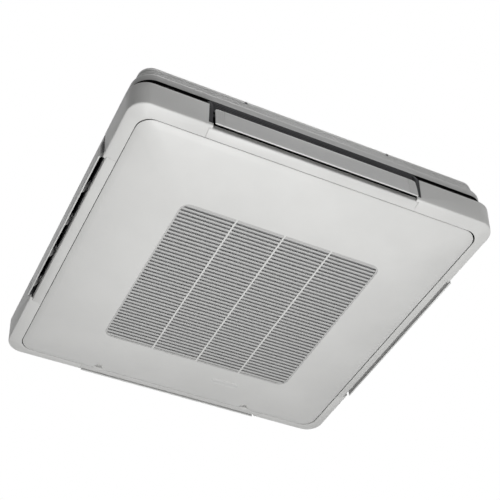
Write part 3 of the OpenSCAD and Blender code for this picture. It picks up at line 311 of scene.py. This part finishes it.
# The grille's slats take the slats finish, their white plastic painted darker as shade, in place of
# their own slot's finish
OWN_FINISH = {"grille_slats": "slats", **{"flap_rod_" + s: "charcoal_plastic" for s in SIDES}}
for entry in frame["record"]["subparts"]:
    for spot in nodes[entry["node"]].material_slots:
        spot.material = FINISHES[OWN_FINISH.get(entry["node"], entry["material_slot"])]


def clear_selection():
    bpy.ops.object.select_all(action="DESELECT")


def make_active(piece):
    clear_selection()
    piece.select_set(True)
    bpy.context.view_layer.objects.active = piece


def mode(name):
    bpy.ops.object.mode_set(mode=name)


def apply_modifiers(piece):
    make_active(piece)
    for modifier in [m.name for m in piece.modifiers]:
        bpy.ops.object.modifier_apply(modifier=modifier)


def settle(piece):
    """Move a piece's place into its mesh."""
    make_active(piece)
    bpy.ops.object.transform_apply(location=True, rotation=True, scale=True)


def stand_in(piece, name):
    """Let a piece ride and show in the place of a node."""
    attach(piece, BODY_OF[name])
    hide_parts(name)


WELD, LEVEL = 0.000002, 0.2  # metres between corners that are one, degrees between flat faces


def skin(name):
    """The node again as one closed skin, ready for shaping."""
    piece = bpy.data.objects.new(name + "_moulding", nodes[name].data.copy())
    bpy.context.scene.collection.objects.link(piece)
    make_active(piece)
    mode("EDIT")
    bpy.ops.mesh.select_all(action="SELECT")
    bpy.ops.mesh.remove_doubles(threshold=WELD)
    bpy.ops.mesh.dissolve_limited(angle_limit=math.radians(LEVEL))
    mode("OBJECT")
    return piece


def pick(piece, select_mode, chosen):
    """Open a piece for editing with the corners or faces selected that are chosen."""
    make_active(piece)
    mode("EDIT")
    bpy.ops.mesh.select_mode(type=select_mode)
    bpy.ops.mesh.select_all(action="DESELECT")
    mode("OBJECT")
    for item in piece.data.vertices if select_mode == "VERT" else piece.data.polygons:
        item.select = chosen(item)
    mode("EDIT")


def move_corners(piece, chosen, by):
    pick(piece, "VERT", lambda corner: chosen(corner.co))
    bpy.ops.transform.translate(value=by)
    mode("OBJECT")


def round_edges(piece, width, sharp, smooth):
    """Bevel the edges sharper than sharp degrees, and shade those under smooth as curves."""
    if width:
        rounding = piece.modifiers.new("rounding", "BEVEL")
        rounding.width, rounding.segments = width, 2
        rounding.limit_method, rounding.angle_limit = "ANGLE", math.radians(sharp)
        rounding.harden_normals = False
        apply_modifiers(piece)
    make_active(piece)
    bpy.ops.object.shade_smooth_by_angle(angle=math.radians(smooth))


# The suction panel hangs off centre by its play, as far as the bead round its rim shows it
PANEL_HALF, PANEL_RADIUS = 0.415, 0.036
BEAD_TOP, BEAD_WIDTH = -0.1630, 0.0022
LEFT_PLAY, FRONT_PLAY, RIGHT_PLAY = 0.0006, 0.0010, 0.0012


def in_from_outline(place, half, radius):
    """How far a place lies inside a square with rounded corners."""
    x, y = abs(place.x) - (half - radius), abs(place.y) - (half - radius)
    return radius - math.hypot(max(x, 0.0), max(y, 0.0)) - min(max(x, y), 0.0)


def on_bead(place):
    return place.z < BEAD_TOP and in_from_outline(place, PANEL_HALF, PANEL_RADIUS) < BEAD_WIDTH


def close_seam(piece):
    """Widen the bead to the left and the front from its far corner, then draw in its right side."""
    pick(piece, "VERT", lambda corner: on_bead(corner.co))
    grow = [1 + play / (2 * PANEL_HALF) for play in (LEFT_PLAY, FRONT_PLAY)]
    bpy.ops.transform.resize(value=(*grow, 1.0), center_override=(PANEL_HALF, PANEL_HALF, 0.0))
    mode("OBJECT")
    right_side = PANEL_HALF - PANEL_RADIUS - HAIR
    move_corners(piece, lambda place: on_bead(place) and place.x > right_side,
                 (-RIGHT_PLAY, 0.0, 0.0))


# Each lip's front stands up behind its flap
LIP_TOP, LIP_STAND = -0.1530, 0.0085


def raise_lip(piece):
    move_corners(piece, lambda place: place.z > LIP_TOP - HAIR, (0.0, 0.0, LIP_STAND))


# Black ring under the casing's flange: painted shade that keeps the gap above the covers dark,
# shaped as a seal strip, a flat ring with the flange's rounded corners
SHADE_RING_HALF, SHADE_RING_RADIUS, SHADE_RING_WIDTH = 0.4382, 0.0462, 0.0080
SHADE_RING_TOP, SHADE_RING_THICK = -0.0644, 0.0008


def flange_shade_ring():
    clear_selection()
    bpy.ops.mesh.primitive_plane_add(size=2 * SHADE_RING_HALF, location=(0.0, 0.0, SHADE_RING_TOP))
    shade_ring = bpy.context.object
    shade_ring.name = "flange_shade_ring"
    settle(shade_ring)
    mode("EDIT")
    bpy.ops.mesh.select_all(action="SELECT")
    bpy.ops.mesh.bevel(offset=SHADE_RING_RADIUS, segments=24, affect="VERTICES", profile=0.5)
    bpy.ops.mesh.select_all(action="SELECT")
    bpy.ops.mesh.inset(thickness=SHADE_RING_WIDTH)
    bpy.ops.mesh.delete(type="FACE")
    mode("OBJECT")
    depth = shade_ring.modifiers.new("depth", "SOLIDIFY")
    depth.thickness, depth.offset = SHADE_RING_THICK, -1.0
    apply_modifiers(shade_ring)
    # painted shade: black, so that the gap under the flange shows as shade
    shade_ring.data.materials.append(FINISHES["rubber"])
    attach(shade_ring, "housing")


# Blank oval badge with a grooved rim, and how far it lies from the CAD plate's middle
BADGE_LENGTH, BADGE_WIDTH, BADGE_THICK = 0.074, 0.020, 0.0012
BADGE_SHIFT, BADGE_PROUD, BADGE_EDGE = 0.0055, 0.0002, 0.00015
BADGE_RIM, GROOVE_SLOPE, GROOVE_FLOOR = 0.0010, 0.0003, 0.0008
GROOVE_DEPTH, FIELD_RISE = 0.0006, 0.0005


def bare_badge():
    """The badge on the dome behind the louvres, square to the dome there."""
    plate = nodes["badge_plate"].data
    lowest = min(plate.polygons, key=lambda f: f.normal.z)
    normal, spots = Vector(lowest.normal), [Vector(v.co) for v in plate.vertices]
    level = max(spot.dot(normal) for spot in spots)
    middle = sum(spots, Vector()) / len(spots)

    clear_selection()
    bpy.ops.mesh.primitive_cylinder_add(vertices=64, radius=BADGE_WIDTH / 2, depth=BADGE_THICK)
    badge = bpy.context.object
    badge.name = "badge_plain"
    reach = (BADGE_LENGTH - BADGE_WIDTH) / 2
    for side in (-1, 1):
        move_corners(badge, lambda place: place.x * side > HAIR / 10, (side * reach, 0.0, 0.0))
    pick(badge, "FACE", lambda face: face.normal.z > 0.9)
    for width, rise in ((BADGE_RIM, 0.0), (GROOVE_SLOPE, -GROOVE_DEPTH),
                        (GROOVE_FLOOR, 0.0), (GROOVE_SLOPE, FIELD_RISE)):
        bpy.ops.mesh.inset(thickness=width)
        bpy.ops.transform.translate(value=(0.0, 0.0, rise))
    mode("OBJECT")

    across = Vector((1.0, 0.0, 0.0))
    along = normal.cross(across).normalized()
    turned = Matrix((across, along, normal)).transposed().to_4x4()
    seat = middle - along * math.copysign(BADGE_SHIFT, along.y)
    seat += normal * (level - seat.dot(normal) - BADGE_THICK / 2 + BADGE_PROUD)
    round_edges(badge, BADGE_EDGE, 30.0, 35.0)
    badge.matrix_world = Matrix.Translation(seat) @ turned
    settle(badge)
    badge.data.materials.append(FINISHES["badge_plate"])
    stand_in(badge, "badge_plate")


# Mouldings and pressings whose edges are rounded, with each one's radius in metres
EDGES = {"suction_panel": 0.0, "top_casing": 0.0002, "top_plate": 0.0002,
         **{"corner_cover_" + c: 0.0005 for c in CORNERS},
         **{kind + s: 0.0003 for kind in ("lip_", "flap_", "outlet_frame_") for s in SIDES}}
SHAPING = {"suction_panel": close_seam, **{"lip_" + s: raise_lip for s in SIDES}}
SHARP, CURVED, FLAT = 28.0, 28.0, 8.0  # degrees: bevelled above, smooth below, flat sheet's
for name, width in EDGES.items():
    piece = skin(name)
    if name in SHAPING:
        SHAPING[name](piece)
    round_edges(piece, width, SHARP, FLAT if name == "top_plate" else CURVED)
    stand_in(piece, name)
flange_shade_ring()
bare_badge()


def add_lamp(name, place, aim, power, size):
    """A square soft box at place that shines on aim."""
    data = bpy.data.lights.new(name, "AREA")
    data.energy, data.size = power, size
    lamp = bpy.data.objects.new(name, data)
    bpy.context.scene.collection.objects.link(lamp)
    lamp.location = place
    lamp.rotation_euler = (Vector(aim) - Vector(place)).to_track_quat("-Z", "Y").to_euler()
    lamp.visible_camera = False


MIDDLE = (0.0, 0.0, -0.1)
add_lamp("key_below", (-0.10, -0.65, -2.15), (0.0, -0.1, -0.15), 32.0, 1.0)
add_lamp("fill_above", (0.3, -0.1, 2.0), MIDDLE, 14.0, 1.6)
add_lamp("front", (1.0, -3.0, 0.3), MIDDLE, 12.0, 1.2)

# World: white to the camera and in reflections, a plain grey as light
WHITE_LIGHT, ROOM_LIGHT = (1.0, 1.0, 1.0, 1.0), 0.11
studio = bpy.data.worlds.new("studio")
bpy.context.scene.world = studio
sky = ShaderTree(studio)
camera_ray, glossy_ray, clear_ray = (sky.node("LightPath", output="Is %s Ray" % kind)
                                     for kind in ("Camera", "Glossy", "Transmission"))
lit = sky.node("Background", {}, {"Color": WHITE_LIGHT, "Strength": ROOM_LIGHT})
shown = sky.node("Background", {}, {"Color": WHITE_LIGHT, "Strength": 1.0})
seen = camera_ray.or_else(glossy_ray.or_else(clear_ray))
sky.show("World Output", sky.node("MixShader", {}, {0: seen, 1: lit, 2: shown}))

# Floor: as far under the ceiling as in a room, and clear to a camera that looks up through it
FLOOR_Z, FLOOR_SIZE, FLOOR_GLOW = -2.4, 16.0, 0.75  # glow: its share of what a camera sees
clear_selection()
bpy.ops.mesh.primitive_plane_add(size=FLOOR_SIZE, location=(0.0, 0.0, FLOOR_Z))
floor = bpy.context.object
floor.name = "floor"
pale = Finish("pale_floor", Roughness=0.8, Specular_IOR_Level=0.1)
pale.wear(pale.blend(pale.noise(2.0), (0.80, 0.80, 0.80), (0.82, 0.82, 0.82)))
glow = pale.node("Emission", {}, {"Color": (0.86, 0.86, 0.86, 1.0)})
share = pale.node("LightPath", output="Is Camera Ray") * FLOOR_GLOW
top_side = pale.node("MixShader", {}, {0: share, 1: Field(pale, pale.shader.outputs[0]), 2: glow})
pale.show("Material Output", pale.node("MixShader", {}, {
    0: pale.node("NewGeometry", output="Backfacing"), 1: top_side,
    2: pale.node("BsdfTransparent")}))
floor.data.materials.append(pale.material)

# Camera: from below, outside the front left corner
EYE = (-0.8905, -1.8601, -1.9935)
AHEAD = Vector((0.3157, 0.6495, 0.6917)).normalized()
UP = Vector((-0.2924, -0.6270, 0.7221))
LENS, SENSOR, SHIFT = 82.4, 36.0, 0.0152
right = AHEAD.cross(UP).normalized()
turned = Matrix((right, right.cross(AHEAD), -AHEAD)).transposed().to_4x4()
camera_data = bpy.data.cameras.new("camera")
camera_data.lens, camera_data.sensor_width, camera_data.shift_x = LENS, SENSOR, SHIFT
camera_data.clip_start = 0.05
camera = bpy.data.objects.new("camera", camera_data)
bpy.context.scene.collection.objects.link(camera)
camera.matrix_world = Matrix.Translation(EYE) @ turned
bpy.context.scene.camera = camera
bpy.context.scene.view_settings.view_transform = "Standard"
